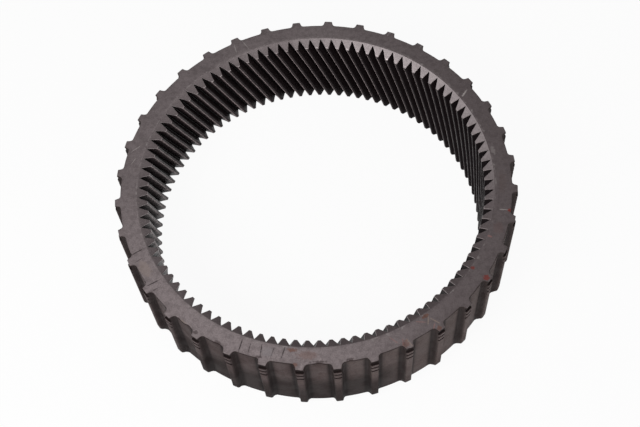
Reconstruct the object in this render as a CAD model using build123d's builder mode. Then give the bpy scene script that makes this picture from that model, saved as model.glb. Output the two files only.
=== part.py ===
from build123d import *
from math import acos, cos, degrees, hypot, pi, radians, sin, sqrt, tan
import os

os.makedirs("parts", exist_ok=True)

# Internal ring gear of a planetary stage: one forged and machined steel ring, lying on its
# lower face. Origin at the centre of that face, +Z along the gear axis, the bevelled end up.
# The bore carries helical teeth; the outside carries straight lugs that drive clutch plates.

# Helical teeth in the bore
normal_module = 3.0
tooth_count = 97
helix_angle = 20.8
normal_pressure_angle = 24.0
addendum_in_modules = 1.233
dedendum_in_modules = 1.2
tooth_thickness_share = 0.594
root_corner_height = 0.55
root_flat_share = 0.45
tip_chamfer = 0.45

# Ring body around the teeth
face_width = 83.4
rim_thickness = 16.9
bevel_land = 3.1
bevel_angle = 27.0

# Straight lugs on the outside
lug_count = 36
lug_height = 5.4
lug_tip_width = 6.0
lug_flank_angle = 15.0
lug_root_fillet = 3.4
lug_tip_chamfer = 0.9
lower_chamfer = 7.4

# Retaining groove turned through the lugs near the bevelled end, and narrow grooves below it
groove_lip = 1.8
groove_width = 5.8
groove_depth = 2.6
narrow_groove_count = 2
narrow_groove_gap = 4.7
narrow_groove_pitch = 7.3
narrow_groove_width = 2.2
narrow_groove_depth = 1.0

# Angle from the first lug, which lies on +X, to the nearest tooth gap at the bevelled end
gap_clocking = -0.37

# How far a cutter runs past the surface that it cuts through
overrun = 1.0

# Radii and angles that follow from the values above
helix = radians(helix_angle)
transverse_module = normal_module / cos(helix)
pitch_radius = transverse_module * tooth_count / 2
tip_radius = pitch_radius - addendum_in_modules * normal_module
root_radius = pitch_radius + dedendum_in_modules * normal_module
body_radius = root_radius + rim_thickness
lug_tip_radius = body_radius + lug_height
bevel_radius = root_radius + bevel_land
bevel_depth = (bevel_radius - tip_radius) * tan(radians(bevel_angle))
pressure_tangent = tan(radians(normal_pressure_angle)) / cos(helix)
base_radius = pitch_radius / sqrt(1 + pressure_tangent**2)
twist_per_mm = degrees(tan(helix) / pitch_radius)


def involute_of(radius):
    """Involute function of the flank's pressure angle on a radius."""
    flank_angle = acos(base_radius / radius)
    return tan(flank_angle) - flank_angle


def flank_point(radius, side):
    """Point on one flank of the tooth gap that is centred on +X; side is 1 or -1."""
    at_pitch = pi / tooth_count * (1 - tooth_thickness_share)
    half_angle = at_pitch + involute_of(pitch_radius) - involute_of(radius)
    return (radius * cos(half_angle), side * radius * sin(half_angle))


# One tooth gap across the axis: involute flanks, a flat root with sloped corners, and a chamfer
# at 45 degrees on the tooth tips, drawn on until it ends inside the open bore
chamfer_radius = tip_radius + tip_chamfer
chamfer_reach = 2 * tip_chamfer
flank_end_radius = root_radius - root_corner_height
flank_middle_radius = (chamfer_radius + flank_end_radius) / 2
with BuildSketch() as tooth_gap:
    with BuildLine():
        for side in (1, -1):
            start = flank_point(chamfer_radius, side)
            end = flank_point(flank_end_radius, side)
            mouth = (start[0] - chamfer_reach, start[1] + side * chamfer_reach)
            root = (root_radius, root_flat_share * end[1])
            Line(mouth, start)
            Spline(start, flank_point(flank_middle_radius, side), end)
            Line(end, root)
        Line(mouth, (mouth[0], -mouth[1]))
        Line(root, (root[0], -root[1]))
    make_face()

# The open bore across the axis, then turned along the helix from below the ring to above it
lower_turn = gap_clocking - twist_per_mm * (face_width + overrun)
with BuildSketch(Plane.XY.offset(-overrun).rotated((0, 0, lower_turn))) as bore_outline:
    Circle(tip_radius)
    with PolarLocations(0, tooth_count):
        add(tooth_gap.sketch)

core_length = face_width + 2 * overrun
with BuildPart() as toothed_bore:
    core = Solid.extrude_linear_with_rotation(
        bore_outline.face(),
        center=(0, 0, -overrun),
        normal=(0, 0, core_length),
        angle=twist_per_mm * core_length,
    )
    add(core)

with BuildPart() as ring_gear:
    # Body disc and tapered lugs as one outline, with filleted lug roots and chamfered lug corners.
    # Each lug is drawn from as far below the body's surface as it stands above it.
    lug_base_width = lug_tip_width + 4 * lug_height * tan(radians(lug_flank_angle))
    with BuildSketch() as outline:
        Circle(body_radius)
        with PolarLocations(0, lug_count):
            with Locations((body_radius - lug_height, 0)):
                Trapezoid(
                    lug_base_width,
                    2 * lug_height,
                    90 - lug_flank_angle,
                    rotation=-90,
                    align=(Align.CENTER, Align.MIN),
                )
        middle_of_lugs = body_radius + lug_height / 2
        corners = outline.vertices().filter_by(lambda v: hypot(v.X, v.Y) > middle_of_lugs)
        chamfer(corners, length=lug_tip_chamfer)
        roots = outline.vertices().filter_by(lambda v: hypot(v.X, v.Y) < middle_of_lugs)
        fillet(roots, radius=lug_root_fillet)
    extrude(amount=face_width)

    # What is turned away: the bevel that the tooth ends follow, the lower chamfer that runs
    # through the lugs into the edge of the body, the retaining groove and the narrow grooves
    with BuildSketch(Plane.XZ):
        with BuildLine():
            Polyline(
                (0, face_width - bevel_depth),
                (tip_radius, face_width - bevel_depth),
                (bevel_radius, face_width),
                (bevel_radius, face_width + overrun),
                (0, face_width + overrun),
                close=True,
            )
        make_face()
        with BuildLine():
            Polyline(
                (lug_tip_radius - lower_chamfer, 0),
                (lug_tip_radius, lower_chamfer),
                (lug_tip_radius + overrun, lower_chamfer),
                (lug_tip_radius + overrun, -overrun),
                (lug_tip_radius - lower_chamfer, -overrun),
                close=True,
            )
        make_face()
        groove_top = face_width - groove_lip
        with Locations((lug_tip_radius + overrun, groove_top)):
            Rectangle(groove_depth + overrun, groove_width, align=(Align.MAX, Align.MAX))
        for index in range(narrow_groove_count):
            height = groove_top - groove_width - narrow_groove_gap - index * narrow_groove_pitch
            with Locations((lug_tip_radius + overrun, height)):
                Rectangle(narrow_groove_depth + overrun, narrow_groove_width, align=(Align.MAX, Align.MAX))
    revolve(axis=Axis.Z, mode=Mode.SUBTRACT)

    add(toothed_bore.part, mode=Mode.SUBTRACT)

ring_gear.part.label = "ring_gear"
export_step(ring_gear.part, "parts/ring_gear.step")
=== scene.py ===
"""Internal ring gear: a used steel ring with helical teeth inside and driving lugs outside."""

import logging
import math
from collections.abc import Iterator
from dataclasses import dataclass, field
from enum import Enum

import bmesh
import bpy
from mathutils import Euler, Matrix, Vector, noise


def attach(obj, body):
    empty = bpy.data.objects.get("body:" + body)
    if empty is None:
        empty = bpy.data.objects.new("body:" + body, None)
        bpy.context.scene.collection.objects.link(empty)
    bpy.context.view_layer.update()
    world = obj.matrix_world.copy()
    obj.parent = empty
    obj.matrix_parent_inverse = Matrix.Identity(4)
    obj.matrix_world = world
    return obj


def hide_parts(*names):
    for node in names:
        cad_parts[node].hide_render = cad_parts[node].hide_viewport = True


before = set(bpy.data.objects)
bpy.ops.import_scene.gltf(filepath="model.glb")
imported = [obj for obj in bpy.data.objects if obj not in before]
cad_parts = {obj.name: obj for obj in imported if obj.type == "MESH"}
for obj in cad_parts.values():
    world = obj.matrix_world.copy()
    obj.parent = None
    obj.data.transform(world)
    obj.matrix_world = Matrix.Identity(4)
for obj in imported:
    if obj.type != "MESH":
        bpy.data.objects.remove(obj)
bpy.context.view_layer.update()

LOG = logging.getLogger("ring_gear_scene")
MM = 0.001
FULL_TURN = 2 * math.pi
WHITE = (1.0, 1.0, 1.0, 1.0)
Point = tuple[float, float, float]
Colour = tuple[int, int, int]
Socket = bpy.types.NodeSocket
Sockets = bpy.types.bpy_prop_collection
Value = Socket | float


def between(first: float, last: float, share: float) -> float:
    """Value at a share of the way from a first one to a last one."""
    return first + (last - first) * share


def polar(radius: float, angle: float) -> tuple[float, float]:
    """x and y of a point at a distance and angle from the gear axis."""
    return (radius * math.cos(angle), radius * math.sin(angle))


def shown(name: str, data: bpy.types.ID) -> bpy.types.Object:
    """Makes an object of a mesh, lamp or camera and links it to the scene.

    Args:
        name: Name of the object.
        data: What the object shows.

    Returns:
        The new object, at the origin.
    """
    piece = bpy.data.objects.new(name, data)
    bpy.context.scene.collection.objects.link(piece)
    return piece


class Zone(Enum):
    """Which surface of the ring a face belongs to; the value is its material slot."""

    END = 0
    BEVEL = 1
    TEETH = 2
    LUGS = 3


@dataclass(frozen=True)
class RingSizes:
    """The ring's sizes: lengths in metres, angles in radians."""

    tooth_count: int = 97
    lug_count: int = 36
    normal_module: float = 3.0 * MM
    helix: float = math.radians(20.8)
    pressure: float = math.radians(24.0)
    addendum: float = 1.233
    dedendum: float = 1.3
    thickness_share: float = 0.594
    root_corner: float = 0.55 * MM
    root_flat_share: float = 0.45
    tip_chamfer: float = 0.45 * MM
    height: float = 83.4 * MM
    rim: float = 16.6 * MM
    bevel_land: float = 1.0 * MM
    bevel_angle: float = math.radians(31.0)
    lug_height: float = 5.4 * MM
    lug_tip_width: float = 6.5 * MM
    lug_flank: float = math.radians(15.0)
    lug_root_fillet: float = 3.0 * MM
    lug_tip_round: float = 1.5 * MM
    lower_chamfer: float = 6.6 * MM
    chamfer_round: float = 1.6 * MM
    pocket_inset: float = 0.4 * MM
    pocket_draft: float = 0.5 * MM
    lug_draft: float = 0.8 * MM
    groove_lip: float = 1.5 * MM
    groove_width: float = 5.8 * MM
    groove_depth: float = 1.7 * MM
    lip_inset: float = 1.0 * MM
    narrow_depth: float = 1.0 * MM
    narrow_width: float = 2.2 * MM
    narrow_floor_share: float = 0.7
    narrow_centres: tuple[float, float] = (12.2 * MM, 19.4 * MM)
    gap_clocking: float = math.radians(-0.37)

    @property
    def pitch_radius(self) -> float:
        """Pitch radius of the teeth."""
        return self.normal_module / math.cos(self.helix) * self.tooth_count / 2

    @property
    def tip_radius(self) -> float:
        """Radius of the tooth tips, the smallest of the ring."""
        return self.pitch_radius - self.addendum * self.normal_module

    @property
    def root_radius(self) -> float:
        """Radius of the bottoms of the tooth gaps."""
        return self.pitch_radius + self.dedendum * self.normal_module

    @property
    def body_radius(self) -> float:
        """Outer radius between the lugs."""
        return self.root_radius + self.rim

    @property
    def lug_radius(self) -> float:
        """Radius of the lug crests, the largest of the ring."""
        return self.body_radius + self.lug_height

    @property
    def bevel_radius(self) -> float:
        """Radius where the bevel meets the upper face."""
        return self.root_radius + self.bevel_land

    @property
    def tooth_pitch(self) -> float:
        """Angle from one tooth to the next."""
        return FULL_TURN / self.tooth_count

    def gap_half_angle(self, radius: float) -> float:
        """Half of a tooth gap's angle on one radius, from the involute flanks.

        Args:
            radius: Distance from the gear axis.

        Returns:
            The angle between the gap's centre and its flank.
        """
        tangent = math.tan(self.pressure) / math.cos(self.helix)
        base = self.pitch_radius / math.sqrt(1 + tangent**2)

        def involute(distance: float) -> float:
            """Involute function of the flank's pressure angle at a distance."""
            angle = math.acos(base / distance)
            return math.tan(angle) - angle

        at_pitch = math.pi / self.tooth_count * (1 - self.thickness_share)
        return at_pitch + involute(self.pitch_radius) - involute(radius)

    def end_height(self, radius: float) -> float:
        """Height of the upper end at a radius, on the bevel or on the flat face."""
        drop = (self.bevel_radius - radius) * math.tan(self.bevel_angle)
        return self.height - max(0.0, drop)

    def turn_at(self, height: float) -> float:
        """Turn of the helical teeth at a height, against the upper face."""
        return math.tan(self.helix) / self.pitch_radius * (height - self.height)

    def crest_limit(self, height: float) -> float:
        """Largest radius at a height, inside the lower chamfer and its rounded upper edge.

        Args:
            height: Height above the lower face.

        Returns:
            The radius of the lug crests or of the chamfer.
        """
        above = height - self.lower_chamfer
        if above > self.chamfer_round:
            return self.lug_radius
        if above < -self.chamfer_round:
            return self.lug_radius + above
        return self.lug_radius - (self.chamfer_round - above) ** 2 / (4 * self.chamfer_round)


class Bench:
    """Puts nodes into one tree and joins them."""

    def __init__(self, tree: bpy.types.NodeTree) -> None:
        """Takes the tree to work on."""
        self.tree = tree

    def feed(self, node: bpy.types.Node, inputs: dict[str | int, object]) -> None:
        """Joins sockets to a node's inputs, or sets the inputs' own values.

        Args:
            node: The node that takes them.
            inputs: Sockets and values by input name or place.
        """
        for name, value in inputs.items():
            if isinstance(value, Socket):
                self.tree.links.new(value, node.inputs[name])
            else:
                node.inputs[name].default_value = value

    def put(
        self, kind: str, inputs: dict[str | int, object] | None = None, **settings: object
    ) -> bpy.types.Node:
        """Adds a node.

        Args:
            kind: Type name of the node.
            inputs: Sockets to join or values to set, by input name or place.
            settings: Properties of the node.

        Returns:
            The new node.
        """
        node = self.tree.nodes.new(kind)
        for name, value in settings.items():
            setattr(node, name, value)
        self.feed(node, inputs or {})
        return node

    def math(self, operation: str, *values: Value) -> Socket:
        """Works out one sum of up to three values."""
        return self.put("ShaderNodeMath", dict(enumerate(values)), operation=operation).outputs[0]

    def vector(self, operation: str, *values: Socket | Point) -> Sockets:
        """Works out one vector sum; its outputs are the vector and, for some, a plain value."""
        inputs = dict(enumerate(values))
        return self.put("ShaderNodeVectorMath", inputs, operation=operation).outputs

    def combine(self, x: Value, y: Value, z: Value = 0.0) -> Socket:
        """Makes a vector from three values."""
        return self.put("ShaderNodeCombineXYZ", {0: x, 1: y, 2: z}).outputs[0]

    def turned_back(self, vector: Socket, angle: Socket) -> Socket:
        """Turns a vector clockwise about the vertical by an angle."""
        inputs = {"Vector": vector, "Angle": self.math("MULTIPLY", angle, -1.0)}
        return self.put("ShaderNodeVectorRotate", inputs, rotation_type="Z_AXIS").outputs[0]

    def ramp(
        self, value: Socket, low: Value, high: Value, start: float = 0.0, end: float = 1.0
    ) -> Socket:
        """Brings a value smoothly from one range into another.

        Args:
            value: What is mapped.
            low: Value that gives start.
            high: Value that gives end.
            start: Result at low.
            end: Result at high.

        Returns:
            The mapped value.
        """
        limits = {"From Min": low, "From Max": high, "To Min": start, "To Max": end}
        inputs = {"Value": value, **limits}
        node = self.put("ShaderNodeMapRange", inputs, interpolation_type="SMOOTHSTEP")
        return node.outputs["Result"]

    def noise(self, place: Socket, scale: Value, detail: float, roughness: float) -> Socket:
        """Noise from 0 to 1 over a place, with its finer layers' number and strength."""
        inputs = {"Vector": place, "Scale": scale, "Detail": detail, "Roughness": roughness}
        return self.put("ShaderNodeTexNoise", inputs).outputs["Fac"]

    def blend(self, share: Socket, first: Socket | tuple, second: Socket | tuple) -> Socket:
        """Blends two colours; the share is how much of the second shows."""
        inputs = {0: share, 6: first, 7: second}
        return self.put("ShaderNodeMix", inputs, data_type="RGBA").outputs[2]


@dataclass
class SurfacePoint:
    """One vertex of a strip: its place, its wear and its grime with painted shade, from 0 to 1."""

    place: Point
    edge: float = 0.0
    grime_and_shade: float = 0.0


@dataclass
class Strip:
    """A grid of surface points, one list for each column, that repeats around the axis."""

    name: str
    columns: list[list[SurfacePoint]]
    zones: list[Zone]
    outward: bool

    def build(self) -> bpy.types.Object:
        """Makes the strip as a mesh with its wear and its grime-and-shade attributes.

        Returns:
            The new object, with one quad for each cell of the grid.
        """
        rows = len(self.columns[0])
        points = [point for column in self.columns for point in column]
        faces = []
        zones = []
        for left in range(len(self.columns) - 1):
            for row in range(rows - 1):
                first = left * rows + row
                quad = (first, first + rows, first + rows + 1, first + 1)
                faces.append(quad if self.outward else tuple(reversed(quad)))
                zones.append(self.zones[row].value)
        mesh = bpy.data.meshes.new(self.name)
        mesh.from_pydata([point.place for point in points], [], faces)
        for label in ("edge", "grime_and_shade"):
            values = [getattr(point, label) for point in points]
            mesh.attributes.new(label, "FLOAT", "POINT").data.foreach_set("value", values)
        mesh.attributes.new("zone", "INT", "FACE").data.foreach_set("value", zones)
        return shown(self.name, mesh)


@dataclass(frozen=True)
class PitchRing:
    """Geometry Nodes that set copies of a strip around the gear axis."""

    name: str = "copies_around_axis"

    def tree(self) -> bpy.types.NodeTree:
        """Builds the node tree.

        Returns:
            A tree with the strip, the number of copies and the material as inputs.
        """
        tree = bpy.data.node_groups.new(self.name, "GeometryNodeTree")
        socket = tree.interface.new_socket
        for name, kind in (("Geometry", "Geometry"), ("Copies", "Int"), ("Steel", "Material")):
            socket(name, in_out="INPUT", socket_type=f"NodeSocket{kind}")
        socket("Geometry", in_out="OUTPUT", socket_type="NodeSocketGeometry")
        bench = Bench(tree)
        source = bench.put("NodeGroupInput").outputs
        points = bench.put("GeometryNodePoints", {"Count": source["Copies"]}).outputs["Points"]
        index = bench.put("GeometryNodeInputIndex").outputs["Index"]
        turn = bench.math("MULTIPLY", index, bench.math("DIVIDE", FULL_TURN, source["Copies"]))
        inputs = {
            "Points": points,
            "Instance": source["Geometry"],
            "Rotation": bench.combine(0.0, 0.0, turn),
        }
        copies = bench.put("GeometryNodeInstanceOnPoints", inputs).outputs["Instances"]
        ring = bench.put("GeometryNodeRealizeInstances", {"Geometry": copies}).outputs["Geometry"]
        inputs = {"Geometry": ring, "Material": source["Steel"]}
        painted = bench.put("GeometryNodeSetMaterial", inputs).outputs["Geometry"]
        bench.put("NodeGroupOutput", {"Geometry": painted})
        return tree

    def repeat(
        self, strip: bpy.types.Object, copies: int, steel: bpy.types.Material
    ) -> bpy.types.Mesh:
        """Repeats a strip around the axis and removes the strip itself.

        Args:
            strip: Object that holds one pitch of the surface.
            copies: How many pitches go round.
            steel: Material that the copies start with.

        Returns:
            The whole ring of copies as one mesh.
        """
        tree = bpy.data.node_groups.get(self.name) or self.tree()
        modifier = strip.modifiers.new("around_axis", "NODES")
        modifier.node_group = tree
        values = {"Copies": copies, "Steel": steel}
        for item in tree.interface.items_tree:
            if item.in_out == "INPUT" and item.name in values:
                modifier[item.identifier] = values[item.name]
        strip.update_tag()
        graph = bpy.context.evaluated_depsgraph_get()
        graph.update()
        ring = bpy.data.meshes.new_from_object(strip.evaluated_get(graph))
        strip.modifiers.remove(modifier)
        bpy.data.objects.remove(strip)
        return ring


@dataclass
class ToothWall:
    """The bore: helical teeth, their bevelled ends and the inner part of both end faces.

    The corner between flank and tip is rounded over one point: corner_turn and corner_rise give
    its place and tip_turn the start of the flat tip, as shares of the tip chamfer. The trailing
    side of each tooth is less polished and keeps more oil.
    """

    sizes: RingSizes
    edge_round: float = 0.3 * MM
    guard: float = 1.1 * MM
    inner_guard_share: float = 0.55
    corner_turn: float = 0.35
    corner_rise: float = 0.3
    tip_turn: float = 1.1
    tip_wear: float = 0.3
    tip_grime: float = 0.45
    flank_wear: float = 0.9
    trailing_wear: float = 0.3
    trailing_grime: float = 0.66
    foot_darkening: float = 0.6
    flank_points: int = 4
    wall_rows: int = 12
    upper_loop: float = 165.5 * MM
    lower_loop: float = 161.6 * MM

    def half_profile(self) -> list[tuple[float, float, float, float]]:
        """Half a tooth across the axis, from the gap's centre to the tooth's centre.

        Returns:
            Angle from the tooth's centre, radius, edge wear and grime with painted shade of each
            point.
        """
        ring = self.sizes
        half_pitch = ring.tooth_pitch / 2
        flank_end = ring.root_radius - ring.root_corner
        flank_start = ring.tip_radius + ring.tip_chamfer
        flat_half = ring.root_flat_share * ring.gap_half_angle(flank_end)
        # The gaps are darkest at the root and lighter up the flank: oil and painted shade in the
        # gaps.
        points = [(half_pitch - turn, ring.root_radius, 0.0, 1.0) for turn in (0.0, flat_half)]
        for index in range(self.flank_points + 1):
            share = index / self.flank_points
            radius = between(flank_end, flank_start, share)
            angle = half_pitch - ring.gap_half_angle(radius)
            points.append((angle, radius, self.flank_wear * share**6, between(1.0, 0.1, share)))
        flank_angle = points[-1][0]
        chamfer_angle = ring.tip_chamfer / ring.tip_radius
        corner_radius = ring.tip_radius + self.corner_rise * ring.tip_chamfer
        return points + [
            (flank_angle - self.corner_turn * chamfer_angle, corner_radius, 1.0, 0.0),
            (flank_angle - self.tip_turn * chamfer_angle, ring.tip_radius, 1.0, 0.0),
            (0.0, ring.tip_radius, self.tip_wear, self.tip_grime),
        ]

    def column(self, angle: float, radius: float, edge: float, grime_and_shade: float) -> list[SurfacePoint]:
        """All points of one column, from the lower face up the flank and over the bevel.

        Args:
            angle: Angle from the tooth's centre.
            radius: Radius of the flank there.
            edge: Wear of the flank there.
            grime_and_shade: Grime and painted shade of the flank there.

        Returns:
            The column's points from below to above.
        """
        ring = self.sizes
        top = ring.end_height(radius)
        foot = self.edge_round
        bevel = ring.bevel_radius
        inner_guard = min(self.guard, self.inner_guard_share * (bevel - radius))
        # Each row is a radius, a height, the height that gives its turn, its wear and its grime
        # with painted shade.
        rows = [
            (self.lower_loop, 0.0, 0.0, 0.0, 0.1),
            (radius + self.guard, 0.0, 0.0, 0.0, 0.1),
            # The foot of each flank, at the lower face, is darker.
            (radius + foot, 0.0, 0.0, 0.1, self.foot_darkening),
            (radius, foot, foot, 0.1, max(grime_and_shade, self.foot_darkening)),
        ]
        for index in range(self.wall_rows + 1):
            height = between(self.guard, top - self.guard, index / self.wall_rows)
            rows.append((radius, height, height, edge, grime_and_shade))
        rows.append((radius, top - foot, top - foot, 1.0, grime_and_shade))
        for distance, wear, dirt_and_shade in (
            (radius + foot, 0.6, 0.2),
            (radius + inner_guard, 0.0, 0.15),
            (bevel - foot, 0.1, 0.1),
            (bevel + foot, 0.5, 0.0),
            (bevel + 2 * self.guard, 0.35, 0.0),
            (self.upper_loop, 0.0, 0.0),
        ):
            rows.append((distance, ring.end_height(distance), top, wear, dirt_and_shade))
        points = []
        for distance, height, turned_at, wear, dirt_and_shade in rows:
            turn = ring.gap_clocking + ring.tooth_pitch / 2 + angle + ring.turn_at(turned_at)
            points.append(SurfacePoint((*polar(distance, turn), height), wear, dirt_and_shade))
        return points

    def strip(self) -> Strip:
        """Makes one tooth with half a gap on each side of it.

        Returns:
            The strip that repeats at the tooth pitch.
        """
        half = self.half_profile()
        profile = [
            (-angle, radius, self.trailing_wear * edge, max(grime_and_shade, self.trailing_grime))
            for angle, radius, edge, grime_and_shade in half
        ]
        profile += reversed(half[:-1])
        columns = [self.column(*point) for point in profile]
        zones = [Zone.END] * 2 + [Zone.TEETH] * (self.wall_rows + 3) + [Zone.BEVEL] * 3
        return Strip("tooth_strip", columns, zones + [Zone.END] * 3, outward=False)


@dataclass(frozen=True)
class Level:
    """One row of the outer wall: its height, how it is set in and how it looks.

    The limit is the largest radius on this row. Edge wear and darkening, grime with painted shade,
    have one value for the lugs and one for the pockets between them.
    """

    height: float
    limit: float
    inset: float = 0.0
    lug_edge: float = 0.0
    lug_grime_and_shade: float = 0.0
    pocket_edge: float = 0.0
    pocket_grime_and_shade: float = 0.1


@dataclass
class LugWall:
    """The outside: driving lugs, pockets, grooves and the outer part of both end faces.

    The pockets, fillets and rounds have a range of grime with painted shade, or of wear, from
    where each begins to where it ends as the outline goes from the pocket to the lug.
    """

    sizes: RingSizes
    edge_round: float = 0.35 * MM
    flank_guard: float = 0.8 * MM
    face_guard: float = 1.15 * MM
    lug_blend: float = 3.0
    pocket_grime_and_shade: tuple[float, float] = (0.05, 0.6)
    fillet_grime_and_shade: tuple[float, float] = (0.95, 0.8)
    flank_grime_and_shade: float = 0.7
    round_grime_and_shade: tuple[float, float] = (0.5, 0.0)
    round_wear: tuple[float, float] = (0.4, 0.1)
    crest_wear: float = 0.1
    low_darkening: float = 0.4
    low_share: float = 0.4
    pocket_points: int = 4
    fillet_points: int = 5
    round_points: int = 3
    crest_points: int = 3
    wall_rows: int = 7
    inner_loop: float = 170.5 * MM

    def half_outline(self, height: float) -> list[tuple[float, float, float, float]]:
        """Half a sector of the outline, from the pocket's centre to the lug's centre.

        Args:
            height: Height of the row; the forged pockets and lugs are drafted along it.

        Returns:
            x and y with the lug along +X, edge wear, and grime with painted shade of each point.
        """
        ring = self.sizes
        below = 1 - height / ring.height
        body = ring.body_radius - ring.pocket_inset - ring.pocket_draft * below
        half_width = (ring.lug_tip_width - ring.lug_draft * below) / 2
        fillet = ring.lug_root_fillet
        slope = math.tan(ring.lug_flank)
        stretch = math.hypot(1.0, slope)
        # The root fillet's centre is a fillet radius off both the pocket and the lug's flank.
        reach = half_width + ring.lug_radius * slope + fillet * stretch
        along = reach * slope
        across = along**2 - stretch**2 * (reach**2 - (body + fillet) ** 2)
        centre_x = (along + math.sqrt(across)) / stretch**2
        centre_y = reach - slope * centre_x
        tangent = math.atan2(centre_y, centre_x)
        half_sector = math.pi / ring.lug_count
        points = []
        # The pocket darkens towards the lug; fillet and flank are darkest: grime and painted shade
        # beside each lug.
        for index in range(self.pocket_points):
            share = index / self.pocket_points
            place = polar(body, between(half_sector, tangent, share))
            points.append((*place, 0.0, between(*self.pocket_grime_and_shade, share**3)))
        start = math.pi + tangent
        finish = 1.5 * math.pi - ring.lug_flank
        for index in range(self.fillet_points + 1):
            share = index / self.fillet_points
            x, y = polar(fillet, between(start, finish, share))
            grime_and_shade = between(*self.fillet_grime_and_shade, share)
            points.append((centre_x + x, centre_y + y, 0.0, grime_and_shade))
        # The tip round's centre is a round's radius inside both the flank and the crest.
        corner = ring.lug_tip_round
        corner_y = half_width + corner * (slope - stretch)
        corner_x = math.sqrt((ring.lug_radius - corner) ** 2 - corner_y**2)
        flank_y = half_width + (corner + self.flank_guard) * slope
        points.append((corner_x - self.flank_guard, flank_y, 0.0, self.flank_grime_and_shade))
        start = math.pi / 2 - ring.lug_flank
        finish = math.atan2(corner_y, corner_x)
        for index in range(self.round_points + 1):
            share = index / self.round_points
            x, y = polar(corner, between(start, finish, share))
            wear = between(*self.round_wear, abs(2 * share - 1))
            grime_and_shade = between(*self.round_grime_and_shade, share)
            points.append((corner_x + x, corner_y + y, wear, grime_and_shade))
        for index in range(1, self.crest_points + 1):
            angle = corner_y / ring.lug_radius * (1 - index / self.crest_points)
            points.append((*polar(ring.lug_radius, angle), self.crest_wear, 0.0))
        return points

    def levels(self) -> list[Level]:
        """Lays out the rows of the outer wall.

        Returns:
            The rows from below to above.
        """
        ring = self.sizes
        full = ring.lug_radius
        inset = self.edge_round
        guard = self.face_guard
        foot = ring.crest_limit(0.0)
        chamfer = ring.lower_chamfer
        rows = [
            Level(0.0, foot - guard, guard),
            Level(0.0, foot - inset, inset, lug_edge=0.6, pocket_edge=0.5),
        ]
        rounding = (chamfer - ring.chamfer_round, chamfer, chamfer + ring.chamfer_round)
        # The rows up to the lower chamfer's rounding are darker.
        for height in (inset, guard, 2 * guard, *rounding):
            limit = ring.crest_limit(height)
            rows.append(Level(height, limit, lug_grime_and_shade=0.45, pocket_grime_and_shade=0.25))
        first = chamfer + 4 * guard
        last = ring.height - max(ring.narrow_centres) - ring.narrow_width
        for index in range(self.wall_rows):
            share = index / (self.wall_rows - 1)
            # The lugs are darker towards the bottom of the wall.
            dirt_and_shade = self.low_darkening * max(0.0, 1 - share / self.low_share)
            rows.append(Level(between(first, last, share), full, lug_grime_and_shade=dirt_and_shade))
        half = ring.narrow_width / 2
        half_floor = ring.narrow_floor_share * half
        floor = full - ring.narrow_depth
        # The narrow grooves' floors are dark: grime and painted shade in the grooves.
        for centre in sorted(ring.narrow_centres, reverse=True):
            middle = ring.height - centre
            rows += [
                Level(middle - half - inset, full, lug_edge=0.3),
                Level(middle - half, full - inset / 2, lug_grime_and_shade=0.9),
                Level(middle - half_floor, floor, lug_grime_and_shade=1.0),
                Level(middle + half_floor, floor, lug_grime_and_shade=1.0),
                Level(middle + half, full - inset / 2, lug_grime_and_shade=0.9),
                Level(middle + half + inset, full, lug_edge=0.3),
            ]
        # The main groove's floor and the band under its lip are dark: grime and painted shade in
        # the groove.
        high = ring.height - ring.groove_lip
        low = high - ring.groove_width
        floor = full - ring.groove_depth
        lip = full - ring.lip_inset
        return rows + [
            Level(low - guard, full, lug_edge=0.1),
            Level(low - inset, full, lug_edge=0.3),
            Level(low, full - inset, lug_grime_and_shade=0.9),
            Level(low, floor, lug_grime_and_shade=1.0),
            # The pocket walls darken just under the upper face: painted shade below the edge.
            Level(high, floor, lug_grime_and_shade=1.0, pocket_grime_and_shade=0.2),
            Level(high, lip - inset, lug_grime_and_shade=1.0, pocket_grime_and_shade=0.3),
            Level(high + inset, lip, lug_grime_and_shade=0.9, pocket_grime_and_shade=0.75),
            Level(ring.height - inset, lip, lug_grime_and_shade=0.6, pocket_grime_and_shade=0.85),
            Level(ring.height, lip, inset, lug_edge=0.5, pocket_grime_and_shade=0.4),
            Level(ring.height, full, guard),
        ]

    def row(self, level: Level) -> list[SurfacePoint]:
        """Sets the outline at one level, with its wear and its grime with painted shade.

        Args:
            level: The row's height, insets and looks.

        Returns:
            The points of one sector, from pocket to pocket.
        """
        ring = self.sizes
        half = self.half_outline(level.height)
        outline = [(x, -y, edge, grime_and_shade) for x, y, edge, grime_and_shade in half]
        outline += reversed(half[:-1])
        normals = self.normals([(x, y) for x, y, _, _ in outline])
        on_face = level.height > ring.height - self.edge_round / 2
        row = []
        for (x, y, edge, grime_and_shade), (out_x, out_y) in zip(outline, normals):
            inner_x = x - level.inset * out_x
            inner_y = y - level.inset * out_y
            radius = math.hypot(inner_x, inner_y)
            scale = min(1.0, level.limit / radius)
            rise = (radius - ring.body_radius) / ring.lug_height
            on_lug = min(1.0, max(0.0, self.lug_blend * rise))
            on_crest = scale < 1.0 or radius > ring.lug_radius - 2 * self.edge_round
            crest_wear = level.lug_edge if on_crest else 0.0
            wear = max(edge * on_lug, crest_wear, level.pocket_edge * (1 - on_lug))
            dirt_and_shade = level.lug_grime_and_shade if on_crest else level.pocket_grime_and_shade
            place = (inner_x * scale, inner_y * scale, level.height)
            row.append(SurfacePoint(place, wear, max(0.0 if on_face else grime_and_shade, dirt_and_shade)))
        return row

    def strip(self) -> Strip:
        """Makes one lug with half a pocket on each side of it.

        Returns:
            The strip that repeats at the lug pitch.
        """
        rows = [self.row(level) for level in self.levels()]
        columns = [
            [self.loop_point(column[0]), *column, self.loop_point(column[-1])]
            for column in zip(*rows)
        ]
        zones = [Zone.END] * 2 + [Zone.LUGS] * (len(rows) - 3) + [Zone.END] * 2
        return Strip("lug_strip", columns, zones, outward=True)

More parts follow.
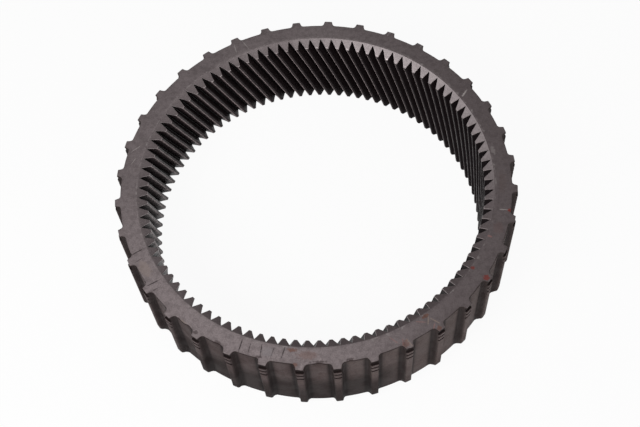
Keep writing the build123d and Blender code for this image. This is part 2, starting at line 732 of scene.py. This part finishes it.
    def loop_point(self, near: SurfacePoint) -> SurfacePoint:
        """Point of an end face on the circle that ends this wall, straight inwards from another.

        Args:
            near: The point of the end face beside the outline.

        Returns:
            A clean point at the same angle and height.
        """
        x, y, height = near.place
        scale = self.inner_loop / math.hypot(x, y)
        return SurfacePoint((x * scale, y * scale, height))

    @staticmethod
    def normals(outline: list[tuple[float, float]]) -> list[tuple[float, float]]:
        """Outward normals of an outline that runs anticlockwise.

        Args:
            outline: The outline's points.

        Returns:
            One unit normal for each point.
        """
        result = []
        last = len(outline) - 1
        for index, (x, y) in enumerate(outline):
            if 0 < index < last:
                before = outline[index - 1]
                after = outline[index + 1]
                x, y = after[1] - before[1], before[0] - after[0]
            length = math.hypot(x, y)
            result.append((x / length, y / length))
        return result


@dataclass(frozen=True)
class Nick:
    """A small knock in an edge or a wall: place on the ring, size and depth in millimetres."""

    degrees: float
    radius: float
    size: float
    depth: float
    height: float = 83.4
    drop: float = 0.6


@dataclass
class RingGear:
    """The whole ring as one closed mesh, worn and dressed."""

    sizes: RingSizes = field(default_factory=RingSizes)
    merge_gap: float = 0.01 * MM
    sharp_angle: float = math.radians(38)
    ripple: float = 0.10 * MM
    ripple_scale: float = 95.0
    ripple_stretch: float = 0.6
    ripple_range: tuple[float, float] = (0.4, 2.0)
    edge_range: tuple[float, float] = (0.3, 1.0)
    dent: float = 0.15 * MM
    dent_scale: float = 3.1 * 95.0
    dent_band: float = 0.4 * MM
    dented_edge: float = 0.4
    nicks: tuple[Nick, ...] = (
        Nick(208.0, 175.0, 3.0, 0.8),
        Nick(233.0, 175.0, 3.5, 1.0),
        Nick(236.5, 174.9, 4.0, 1.2),
        Nick(246.5, 175.0, 4.0, 0.9),
        Nick(258.5, 175.0, 3.5, 1.0),
        Nick(275.0, 175.0, 7.5, 1.9),
        Nick(283.8, 175.3, 3.5, 1.2),
        Nick(299.5, 181.0, 2.6, 0.9),
        Nick(309.0, 162.3, 2.4, 0.7),
        Nick(326.0, 175.0, 2.4, 0.6),
        Nick(275.4, 176.0, 3.5, 0.9, height=63.0, drop=0.0),
    )

    def joined(self, steels: list[bpy.types.Material]) -> bpy.types.Mesh:
        """Repeats both walls, joins them and closes the two end faces between them.

        Args:
            steels: The finishes in the order of the zones.

        Returns:
            One closed mesh.
        """
        teeth = ToothWall(self.sizes)
        lugs = LugWall(self.sizes)
        copies = PitchRing()
        form = bmesh.new()
        for wall, count, zone in (
            (teeth, self.sizes.tooth_count, Zone.TEETH),
            (lugs, self.sizes.lug_count, Zone.LUGS),
        ):
            ring = copies.repeat(wall.strip().build(), count, steels[zone.value])
            form.from_mesh(ring)
            bpy.data.meshes.remove(ring)
        bmesh.ops.remove_doubles(form, verts=form.verts, dist=self.merge_gap)
        self.close(form, 0.0, teeth.lower_loop, lugs.inner_loop)
        self.close(form, self.sizes.height, teeth.upper_loop, lugs.inner_loop)
        zone = form.faces.layers.int["zone"]
        for part in form.faces:
            part.material_index = part[zone]
            part.smooth = True
        self.wear(form)
        self.knock(form)
        mesh = bpy.data.meshes.new("ring_gear_steel")
        form.to_mesh(mesh)
        form.free()
        for steel in steels:
            mesh.materials.append(steel)
        mesh.set_sharp_from_angle(angle=self.sharp_angle)
        return mesh

    def close(self, form: bmesh.types.BMesh, height: float, inner: float, outer: float) -> None:
        """Fills an end face between two circles of points with triangles.

        Args:
            form: The joined walls.
            height: Height of the end face.
            inner: Radius of the inner circle of points.
            outer: Radius of the outer circle of points.
        """
        loops = []
        for radius in (inner, outer):
            loop = [
                (math.atan2(vert.co.y, vert.co.x), vert)
                for vert in form.verts
                if abs(vert.co.z - height) < 0.1 * self.merge_gap
                and abs(vert.co.to_2d().length - radius) < 2 * self.merge_gap
            ]
            loop.sort(key=lambda turned: turned[0])
            turn, start = loop[0]
            loops.append(loop + [(turn + FULL_TURN, start), (math.inf, start)])
        zone = form.faces.layers.int["zone"]
        places = [0, 0]
        while True:
            turns = [loop[place + 1][0] for loop, place in zip(loops, places)]
            side = 0 if turns[0] <= turns[1] else 1
            if turns[side] == math.inf:
                break
            corners = [loop[place][1] for loop, place in zip(loops, places)]
            places[side] += 1
            corners.append(loops[side][places[side]][1])
            part = form.faces.new(corners if height > 0 else corners[::-1])
            part[zone] = Zone.END.value

    def wear(self, form: bmesh.types.BMesh) -> None:
        """Moves the outer wall and the upper edges inwards a little, as handling and use do.

        Args:
            form: The closed ring.
        """
        edge = form.verts.layers.float["edge"]
        ring = self.sizes
        for vert in form.verts:
            x, y, z = vert.co
            radius = math.hypot(x, y)
            if radius > ring.body_radius - MM:
                place = Vector((x, y, self.ripple_stretch * z)) * self.ripple_scale
                bump = between(*self.ripple_range, max(0.0, 0.5 + 0.5 * noise.noise(place)))
                inwards = self.ripple * bump * between(*self.edge_range, vert[edge])
                vert.co.x -= x / radius * inwards
                vert.co.y -= y / radius * inwards
            if z > ring.height - self.dent_band and vert[edge] > self.dented_edge:
                bump = noise.noise(Vector((x, y, z)) * self.dent_scale)
                vert.co.z -= self.dent * max(0.0, bump)

    def knock(self, form: bmesh.types.BMesh) -> None:
        """Presses the nicks into the ring.

        Args:
            form: The closed ring.
        """
        for nick in self.nicks:
            across, along = polar(1.0, math.radians(nick.degrees))
            centre = Vector((nick.radius * across, nick.radius * along, nick.height)) * MM
            outwards = Vector((across, along, nick.drop)).normalized()
            for vert in form.verts:
                gap = (vert.co - centre).length / (nick.size * MM)
                if gap < 1.0:
                    vert.co -= outwards * nick.depth * MM * (1 - gap**2) ** 2

    def build(self, steels: list[bpy.types.Material]) -> bpy.types.Object:
        """Makes the ring's object.

        Args:
            steels: The finishes in the order of the zones.

        Returns:
            The finished piece, at the origin.
        """
        return shown("ring_gear_steel", self.joined(steels))


def linear(colour: Colour) -> tuple[float, float, float, float]:
    """Turns a colour as a screen shows it into the linear colour that nodes take.

    Args:
        colour: Red, green and blue from 0 to 255.

    Returns:
        Linear colour with full alpha.
    """
    values = []
    for part in colour:
        share = part / 255
        values.append(share / 12.92 if share <= 0.04045 else ((share + 0.055) / 1.055) ** 2.4)
    return (*values, 1.0)


class Effect:
    """A shared shader effect: a node group with named inputs that is built once."""

    name = "effect"
    inputs: dict[str, float] = {}
    outputs: tuple[str, ...] = ("Mask",)

    @classmethod
    def tree(cls) -> bpy.types.NodeTree:
        """Gives the group, and builds it the first time.

        Returns:
            The group's node tree.
        """
        known = bpy.data.node_groups.get(cls.name)
        if known:
            return known
        tree = bpy.data.node_groups.new(cls.name, "ShaderNodeTree")
        face = tree.interface
        face.new_socket("Vector", in_out="INPUT", socket_type="NodeSocketVector")
        for name, value in cls.inputs.items():
            socket = face.new_socket(name, in_out="INPUT", socket_type="NodeSocketFloat")
            socket.default_value = value
        for name in cls.outputs:
            face.new_socket(name, in_out="OUTPUT", socket_type="NodeSocketFloat")
        bench = Bench(tree)
        source = bench.put("NodeGroupInput").outputs
        bench.put("NodeGroupOutput", cls.make(bench, source))
        return tree

    @classmethod
    def make(cls, bench: Bench, source: Sockets) -> dict[str, Socket]:
        """Builds the effect's nodes.

        Args:
            bench: Where the nodes go.
            source: The group's inputs.

        Returns:
            The socket for each output.
        """
        raise NotImplementedError

    @classmethod
    def on(cls, bench: Bench, inputs: dict[str, Value]) -> Sockets:
        """Places the effect in a material with its own values, and gives its outputs."""
        return bench.put("ShaderNodeGroup", inputs, node_tree=cls.tree()).outputs


class Grain(Effect):
    """Fine grain, stains and larger patches of a handled steel surface, with their height."""

    name = "steel_grain"
    inputs = {"Fine Scale": 900.0, "Stain Scale": 230.0, "Patch Scale": 45.0}
    outputs = ("Fine", "Stains", "Patches", "Height")
    fine_layers = (4.0, 0.65)
    stain_layers = (3.0, 0.7)
    patch_layers = (5.0, 0.6)
    stain_range = (0.4, 0.68)
    patch_range = (0.35, 0.65)
    patch_height = 0.5

    @classmethod
    def make(cls, bench: Bench, source: Sockets) -> dict[str, Socket]:
        """Builds the grain.

        Args:
            bench: Where the nodes go.
            source: The group's inputs.

        Returns:
            The grain, stains, patches and height.
        """
        fine = bench.noise(source["Vector"], source["Fine Scale"], *cls.fine_layers)
        stains = bench.noise(source["Vector"], source["Stain Scale"], *cls.stain_layers)
        patches = bench.noise(source["Vector"], source["Patch Scale"], *cls.patch_layers)
        return {
            "Fine": fine,
            "Stains": bench.ramp(stains, *cls.stain_range),
            "Patches": bench.ramp(patches, *cls.patch_range),
            "Height": bench.math("MULTIPLY_ADD", patches, cls.patch_height, fine),
        }


class Worn(Effect):
    """Mask of the bright metal on worn edges, broken up along them."""

    name = "edge_wear"
    inputs = {"Edge": 0.0, "Breakup Scale": 220.0, "Amount": 0.5}
    speck_layers = (3.0, 0.5)
    reach = 1.4
    mask_range = (0.35, 0.75)

    @classmethod
    def make(cls, bench: Bench, source: Sockets) -> dict[str, Socket]:
        """Builds the mask.

        Args:
            bench: Where the nodes go.
            source: The group's inputs.

        Returns:
            The mask.
        """
        speck = bench.noise(source["Vector"], source["Breakup Scale"], *cls.speck_layers)
        reach = bench.math("MULTIPLY_ADD", source["Amount"], cls.reach, -0.5 * cls.reach)
        reached = bench.math("ADD", source["Edge"], reach)
        broken = bench.math("ADD", reached, bench.math("SUBTRACT", speck, 0.5))
        return {"Mask": bench.ramp(broken, *cls.mask_range)}


class Mark(Effect):
    """Mask of one scratch, stain or paint spot: a soft oblong at a place on the ring."""

    name = "mark"
    inputs = {
        "Turn": 0.0,
        "Distance": 170.0 * MM,
        "Height": 83.4 * MM,
        "Slant": 0.0,
        "Half Length": 3.0 * MM,
        "Half Width": 1.0 * MM,
        "Half Rise": 2.0 * MM,
    }
    fray_scale = 420.0
    fray_layers = (4.0, 0.75)
    fray = 2.6
    mask_range = (1.1, 0.7)

    @classmethod
    def make(cls, bench: Bench, source: Sockets) -> dict[str, Socket]:
        """Builds the mask.

        Args:
            bench: Where the nodes go.
            source: The group's inputs.

        Returns:
            The mask.
        """
        centre = bench.combine(source["Distance"], 0.0, source["Height"])
        turned = bench.turned_back(source["Vector"], source["Turn"])
        offset = bench.vector("SUBTRACT", turned, centre)["Vector"]
        aligned = bench.turned_back(offset, source["Slant"])
        size = bench.combine(source["Half Length"], source["Half Width"], source["Half Rise"])
        share = bench.vector("DIVIDE", aligned, size)["Vector"]
        length = bench.vector("LENGTH", share)["Value"]
        ragged = bench.noise(source["Vector"], cls.fray_scale, *cls.fray_layers)
        frayed = bench.math("MULTIPLY_ADD", ragged, cls.fray, -0.5 * cls.fray)
        return {"Mask": bench.ramp(bench.math("ADD", length, frayed), *cls.mask_range)}


class PaintedLightSide(Effect):
    """Mask that grows towards one side of the ring, for painted light and shade that change around
    it.
    """

    name = "painted_light_side"
    inputs = {"Turn": 0.0, "Start": 0.0, "Full": 1.0}

    @classmethod
    def make(cls, bench: Bench, source: Sockets) -> dict[str, Socket]:
        """Builds the mask.

        Args:
            bench: Where the nodes go.
            source: The group's inputs.

        Returns:
            The mask.
        """
        flat = bench.vector("MULTIPLY", source["Vector"], (1.0, 1.0, 0.0))["Vector"]
        outwards = bench.vector("NORMALIZE", flat)["Vector"]
        side = bench.combine(
            bench.math("COSINE", source["Turn"]), bench.math("SINE", source["Turn"])
        )
        share = bench.vector("DOT_PRODUCT", outwards, side)["Value"]
        return {"Mask": bench.ramp(share, source["Start"], source["Full"])}


@dataclass(frozen=True)
class PaintedSideLight:
    """Painted light and shade: a lighter or darker colour that a finish takes on towards one side
    of the ring.

    Start and full are cosines of the angle from that side. Below gives the height under which the
    painted colour shows, for one that lies on the lower part of a wall; it is full at fade times
    that.
    """

    colour: Colour
    degrees: float
    start: float
    full: float
    strength: float = 1.0
    below: float | None = None
    fade: float = 0.55


@dataclass(frozen=True)
class Spot:
    """One scratch, stain or paint spot: where it is, its size in millimetres and its colour."""

    degrees: float
    radius: float
    length: float
    width: float
    colour: Colour
    strength: float = 1.0
    slant: float = 0.0


LIGHT_SCRATCH = (178, 170, 168)
DARK_SCRATCH = (46, 38, 38)
# Darker marks laid along the nicks in the upper edge.
NICK_DARK = (76, 65, 65)
RED_PAINT = (128, 60, 54)
PINK_PAINT = (156, 116, 112)
RUST = (112, 74, 60)
TAN_STAIN = (150, 134, 124)
OIL_STAIN = (112, 92, 90)
THIN_OIL = (106, 92, 90)
PALE_PATCH = (140, 134, 136)
END_SPOTS = (
    (37.2, 166.5, 5.4, 0.8, LIGHT_SCRATCH, 1.0, 0.4),
    (117.7, 168.5, 5.5, 0.45, LIGHT_SCRATCH, 0.7, 0.2),
    (121.3, 169.0, 5.0, 0.45, LIGHT_SCRATCH, 0.7, -0.2),
    (171.0, 169.5, 4.5, 0.5, LIGHT_SCRATCH, 0.7, 0.9),
    (175.5, 168.0, 4.0, 0.45, LIGHT_SCRATCH, 0.6, 1.2),
    (207.8, 170.0, 6.5, 0.6, DARK_SCRATCH, 0.8, 0.1),
    (210.6, 172.0, 4.0, 0.5, DARK_SCRATCH, 0.6, 0.2),
    (219.4, 170.0, 6.5, 0.6, DARK_SCRATCH, 0.75, -0.1),
    (221.5, 172.0, 4.0, 0.5, DARK_SCRATCH, 0.6, -0.1),
    (214.0, 170.0, 5.0, 9.0, TAN_STAIN, 0.35),
    (235.0, 176.5, 2.4, 4.5, TAN_STAIN, 0.5),
    (239.5, 176.5, 2.0, 2.5, NICK_DARK, 0.7),
    (252.6, 168.5, 6.0, 0.6, DARK_SCRATCH, 0.75, 0.1),
    (255.3, 169.0, 5.0, 0.5, DARK_SCRATCH, 0.6, 0.1),
    (258.7, 168.0, 6.0, 0.6, DARK_SCRATCH, 0.8, 0.15),
    (262.0, 168.0, 5.0, 0.5, DARK_SCRATCH, 0.6, -0.1),
    (265.0, 167.0, 5.5, 0.6, DARK_SCRATCH, 0.75, -0.15),
    (260.5, 168.5, 5.0, 5.0, PALE_PATCH, 0.45),
    (267.4, 163.5, 1.8, 4.5, RUST, 0.7),
    (272.0, 167.5, 4.0, 9.0, RUST, 0.35),
    (268.8, 176.6, 2.2, 2.2, RUST, 0.6),
    (246.5, 174.3, 1.2, 3.2, NICK_DARK, 0.7),
    (258.5, 174.2, 1.2, 3.2, NICK_DARK, 0.7),
    (275.0, 173.2, 1.2, 7.0, NICK_DARK, 0.8),
    (283.8, 174.0, 1.4, 3.4, NICK_DARK, 0.8),
    (297.0, 169.0, 4.5, 0.5, PINK_PAINT, 0.5, 0.5),
    (299.0, 173.0, 4.0, 0.5, PINK_PAINT, 0.6, -0.4),
    (300.5, 176.0, 4.0, 0.6, TAN_STAIN, 0.7, 0.2),
    (299.5, 175.5, 4.0, 2.6, RUST, 0.5),
    (306.5, 165.0, 4.5, 0.5, PINK_PAINT, 0.5, 0.9),
    (308.5, 167.5, 4.5, 0.5, TAN_STAIN, 0.8, -0.7),
    (310.0, 171.0, 5.0, 0.6, TAN_STAIN, 0.7, 0.4),
    (308.8, 174.5, 4.5, 0.5, PINK_PAINT, 0.6, -0.9),
    (309.6, 178.5, 2.4, 2.4, RUST, 0.6),
    (308.6, 162.8, 1.8, 3.4, RUST, 0.7),
    (329.7, 176.5, 2.8, 2.6, RED_PAINT, 0.85, 0.15),
    (330.3, 162.3, 2.0, 1.8, RED_PAINT, 0.8),
    (342.5, 163.5, 2.0, 1.2, PINK_PAINT, 0.6),
    (346.0, 168.0, 5.0, 6.0, OIL_STAIN, 0.4),
    (2.0, 167.0, 4.0, 12.0, THIN_OIL, 0.4),
    (14.0, 163.5, 2.0, 5.0, LIGHT_SCRATCH, 0.3),
    (352.6, 174.5, 2.0, 1.8, RED_PAINT, 0.95),
    (352.5, 169.0, 4.0, 0.5, LIGHT_SCRATCH, 0.7, 0.1),
)


@dataclass(frozen=True)
class Steel:
    """A steel finish: its colours as a screen shows them, and how it shines."""

    name: str
    base: Colour
    patch: Colour
    # The dark colour of stains, grain and grime, also used for the painted shade in hollows.
    dirt_and_shade: Colour
    bright: Colour
    metallic: float
    specular: float
    roughness: tuple[float, float]
    wear: float
    stains: float = 0.2
    grain_range: tuple[float, float] = (0.35, 0.65)
    grain_dirt: float = 0.28
    # How far the grime_and_shade attribute, grime with painted shade, darkens the finish.
    grime_and_shade_share: float = 0.9
    bump: float = 0.12
    bump_distance: float = 0.4 * MM
    # Painted light and shade towards sides of the ring.
    painted_side_light: tuple[PaintedSideLight, ...] = ()
    spots: tuple[Spot, ...] = ()
    turning_marks: float = 0.0
    marks_per_metre: float = 9000.0

    def layers(
        self, bench: Bench, place: Socket, grain: Sockets
    ) -> Iterator[tuple[Socket, Colour]]:
        """Makes what lies over the base colour, from below to above.

        Args:
            bench: Where the nodes go.
            place: Object coordinates.
            grain: Outputs of the grain.

        Yields:
            How much of each layer shows, and its colour.
        """
        yield grain["Patches"], self.patch
        # Each painted side light lightens or darkens the finish towards one side of the ring.
        for side_light in self.painted_side_light:
            values = {"Turn": math.radians(side_light.degrees), "Start": side_light.start, "Full": side_light.full}
            share = PaintedLightSide.on(bench, {"Vector": place, **values})["Mask"]
            if side_light.below:
                height = bench.put("ShaderNodeSeparateXYZ", {0: place}).outputs["Z"]
                low = bench.ramp(height, side_light.below, side_light.fade * side_light.below)
                share = bench.math("MULTIPLY", share, low)
            yield bench.math("MULTIPLY", share, side_light.strength), side_light.colour
        yield bench.math("MULTIPLY", grain["Stains"], self.stains), self.dirt_and_shade
        yield bench.ramp(grain["Fine"], *self.grain_range, 0.0, self.grain_dirt), self.dirt_and_shade
        # The grime_and_shade attribute darkens hollows, gaps and grooves: grime with painted
        # shade.
        grime_and_shade = bench.put("ShaderNodeAttribute", attribute_name="grime_and_shade").outputs["Fac"]
        yield bench.math("MULTIPLY", grime_and_shade, self.grime_and_shade_share), self.dirt_and_shade
        edge = bench.put("ShaderNodeAttribute", attribute_name="edge").outputs["Fac"]
        values = {"Vector": place, "Edge": edge, "Amount": self.wear}
        yield Worn.on(bench, values)["Mask"], self.bright
        for spot in self.spots:
            values = {
                "Vector": place,
                "Turn": math.radians(spot.degrees),
                "Distance": spot.radius * MM,
                "Slant": spot.slant,
                "Half Length": spot.length * MM,
                "Half Width": spot.width * MM,
            }
            mask = Mark.on(bench, values)["Mask"]
            yield bench.math("MULTIPLY", mask, spot.strength), spot.colour

    def relief(self, bench: Bench, place: Socket, height: Socket) -> Socket:
        """Turns the grain's height, with turning marks where the face has them, into normals.

        Args:
            bench: Where the nodes go.
            place: Object coordinates.
            height: Height of the grain.

        Returns:
            The normals.
        """
        if self.turning_marks:
            parts = bench.put("ShaderNodeSeparateXYZ", {0: place}).outputs
            distance = bench.vector("LENGTH", bench.combine(parts["X"], parts["Y"]))["Value"]
            marks = bench.math("SINE", bench.math("MULTIPLY", distance, self.marks_per_metre))
            height = bench.math("MULTIPLY_ADD", marks, self.turning_marks, height)
        inputs = {"Strength": self.bump, "Distance": self.bump_distance, "Height": height}
        return bench.put("ShaderNodeBump", inputs).outputs["Normal"]

    def build(self) -> bpy.types.Material:
        """Builds the finish as a material.

        Returns:
            The material, with colour, roughness and bump from nodes.
        """
        material = bpy.data.materials.new(self.name)
        material.use_nodes = True
        bench = Bench(material.node_tree)
        place = bench.put("ShaderNodeTexCoord").outputs["Object"]
        grain = Grain.on(bench, {"Vector": place})
        colour = linear(self.base)
        for share, over in self.layers(bench, place, grain):
            colour = bench.blend(share, colour, linear(over))
        inputs = {
            "Base Color": colour,
            "Metallic": self.metallic,
            "Specular IOR Level": self.specular,
            "Roughness": bench.ramp(grain["Patches"], 0.0, 1.0, *self.roughness),
            "Normal": self.relief(bench, place, grain["Height"]),
        }
        bench.feed(material.node_tree.nodes["Principled BSDF"], inputs)
        return material


FINISHES: dict[Zone, Steel] = {
    Zone.END: Steel(
        "worn_end_face_steel",
        base=(144, 133, 134),
        patch=(128, 118, 119),
        dirt_and_shade=(66, 57, 57),
        bright=(164, 156, 155),
        metallic=0.35,
        specular=0.3,
        roughness=(0.42, 0.62),
        wear=0.45,
        stains=0.3,
        # Painted light and shade: darker towards the right, lighter towards the front left.
        painted_side_light=(
            PaintedSideLight((116, 106, 107), -10, -0.3, 0.8),
            PaintedSideLight((156, 144, 145), 248, 0.3, 0.95, strength=0.7),
        ),
        spots=tuple(Spot(*values) for values in END_SPOTS),
        turning_marks=0.12,
    ),
    Zone.BEVEL: Steel(
        "bright_bevel_steel",
        base=(142, 131, 132),
        patch=(134, 123, 124),
        dirt_and_shade=(54, 45, 46),
        bright=(166, 157, 157),
        metallic=0.4,
        specular=0.5,
        roughness=(0.34, 0.5),
        wear=0.5,
        stains=0.1,
        # Painted highlight on the bevel towards the back right, painted shade towards the front.
        painted_side_light=(
            PaintedSideLight((208, 196, 197), 50, 0.5, 1.05),
            PaintedSideLight((114, 103, 104), 290, 0.3, 0.9),
        ),
    ),
    Zone.TEETH: Steel(
        "oiled_tooth_steel",
        base=(78, 66, 67),
        patch=(64, 53, 55),
        dirt_and_shade=(9, 4, 6),
        bright=(136, 123, 123),
        metallic=0.15,
        specular=0.1,
        roughness=(0.42, 0.54),
        wear=0.4,
        # Painted shade on the teeth towards the right.
        painted_side_light=(PaintedSideLight((46, 37, 38), 30, 0.0, 0.75), PaintedSideLight((40, 32, 33), 5, 0.6, 0.95)),
    ),
    Zone.LUGS: Steel(
        "dark_forged_steel",
        base=(88, 76, 75),
        patch=(80, 68, 67),
        dirt_and_shade=(20, 13, 13),
        bright=(128, 116, 114),
        metallic=0.05,
        specular=0.06,
        roughness=(0.58, 0.72),
        wear=0.45,
        # Painted light towards the front right; darker low on the front walls: oil and painted
        # shade.
        painted_side_light=(
            PaintedSideLight((98, 86, 84), -35, 0.5, 0.9),
            PaintedSideLight((50, 42, 41), 264, 0.78, 0.9, strength=0.95, below=58 * MM),
        ),
    ),
}


@dataclass(frozen=True)
class Lamp:
    """A soft square lamp that shines at the ring: its place and face in metres, its watts."""

    name: str
    place: Point
    size: float
    power: float


@dataclass
class Studio:
    """The plain pale floor, the white surroundings, the soft lamps and the camera."""

    floor_half: float = 6.0
    floor_drop: float = 0.3 * MM
    floor_colour: Colour = (238, 238, 238)
    floor_glow: float = 0.94
    camera_place: Point = (0.07663, -0.50066, 0.93321)
    camera_turn: Point = (28.9706, 2.4847, 4.019)
    camera_lens: float = 61.93
    world_strength: float = 0.2
    lamp_aim: Point = (0.0, 0.0, 0.04)
    lamps: tuple[Lamp, ...] = (
        Lamp("key_lamp", (-0.45, -0.62, 0.80), 0.5, 6.0),
        Lamp("top_lamp", (0.0, 0.0, 1.6), 0.8, 2.5),
        Lamp("front_lamp", (0.0, -1.6, 1.0), 0.8, 5.0),
        Lamp("side_lamp", (1.0, -1.0, 0.25), 0.5, 5.0),
        Lamp("back_wall_lamp", (0.35, 1.15, 0.04), 0.08, 5.0),
        Lamp("left_wall_lamp", (-1.1, 0.5, 0.04), 0.08, 5.0),
    )

    def floor(self) -> None:
        """Makes the floor: a pale sheet that keeps the ring's soft shadow.

        It shows its own white to the camera, in gloss and through glass, and lies just under the
        ring, so that the two faces don't flicker through each other from below.
        """
        half = self.floor_half
        sides = ((-half, -half), (half, -half), (half, half), (-half, half))
        mesh = bpy.data.meshes.new("pale_floor")
        mesh.from_pydata([(x, y, -self.floor_drop) for x, y in sides], [], [(0, 1, 2, 3)])
        material = bpy.data.materials.new("pale_floor")
        material.use_nodes = True
        bench = Bench(material.node_tree)
        nodes = material.node_tree.nodes
        shader = nodes["Principled BSDF"]
        colour = linear(self.floor_colour)
        bench.feed(shader, {"Base Color": colour, "Roughness": 0.9, "Specular IOR Level": 0.1})
        glow = bench.put("ShaderNodeEmission", {"Color": WHITE, "Strength": 1.0}).outputs[0]
        rays = bench.put("ShaderNodeLightPath").outputs
        seen = bench.math("MAXIMUM", rays["Is Camera Ray"], rays["Is Glossy Ray"])
        white = bench.math("MAXIMUM", seen, rays["Is Transmission Ray"])
        share = bench.math("MULTIPLY", white, self.floor_glow)
        both = bench.put("ShaderNodeMixShader", {0: share, 1: shader.outputs[0], 2: glow})
        bench.feed(nodes["Material Output"], {"Surface": both.outputs[0]})
        mesh.materials.append(material)
        shown("pale_floor", mesh)

    def surroundings(self) -> None:
        """Sets the world: white to the camera and a soft even light to the ring."""
        world = bpy.data.worlds.new("white_studio")
        world.use_nodes = True
        bench = Bench(world.node_tree)
        nodes = world.node_tree.nodes
        light = nodes["Background"]
        bench.feed(light, {"Color": WHITE, "Strength": self.world_strength})
        white = bench.put("ShaderNodeBackground", {"Color": WHITE, "Strength": 1.0})
        seen = bench.put("ShaderNodeLightPath").outputs["Is Camera Ray"]
        inputs = {0: seen, 1: light.outputs[0], 2: white.outputs[0]}
        both = bench.put("ShaderNodeMixShader", inputs)
        bench.feed(nodes["World Output"], {"Surface": both.outputs[0]})
        bpy.context.scene.world = world

    def hang(self, lamp: Lamp) -> None:
        """Hangs one lamp and turns it to the ring.

        Args:
            lamp: The lamp's name, place, size and power.
        """
        light = bpy.data.lights.new(lamp.name, "AREA")
        light.size = lamp.size
        light.energy = lamp.power
        hung = shown(lamp.name, light)
        hung.location = lamp.place
        aim = Vector(self.lamp_aim) - Vector(lamp.place)
        hung.rotation_euler = aim.to_track_quat("-Z", "Y").to_euler()

    def camera(self) -> None:
        """Sets the camera at the photograph's viewing angle."""
        lens = bpy.data.cameras.new("photo_view")
        lens.lens = self.camera_lens
        lens.sensor_width = 36.0
        camera = shown("photo_view", lens)
        camera.location = self.camera_place
        camera.rotation_euler = Euler([math.radians(angle) for angle in self.camera_turn], "XYZ")
        bpy.context.scene.camera = camera

    def build(self) -> None:
        """Builds the floor, surroundings, lamps and camera."""
        self.floor()
        self.surroundings()
        for lamp in self.lamps:
            self.hang(lamp)
        self.camera()
        bpy.context.scene.view_settings.view_transform = "Standard"


def main() -> None:
    """Builds the ring and the studio, and says which part each piece stands for."""
    logging.basicConfig(level=logging.INFO)
    ring = RingGear().build([FINISHES[zone].build() for zone in Zone])
    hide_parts("ring_gear")
    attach(ring, "root")
    LOG.info("%s: %d faces", ring.name, len(ring.data.polygons))
    Studio().build()
    LOG.info("studio: floor, lamps and camera")
    LOG.info("sizes written")


if __name__ == "__main__":
    main()
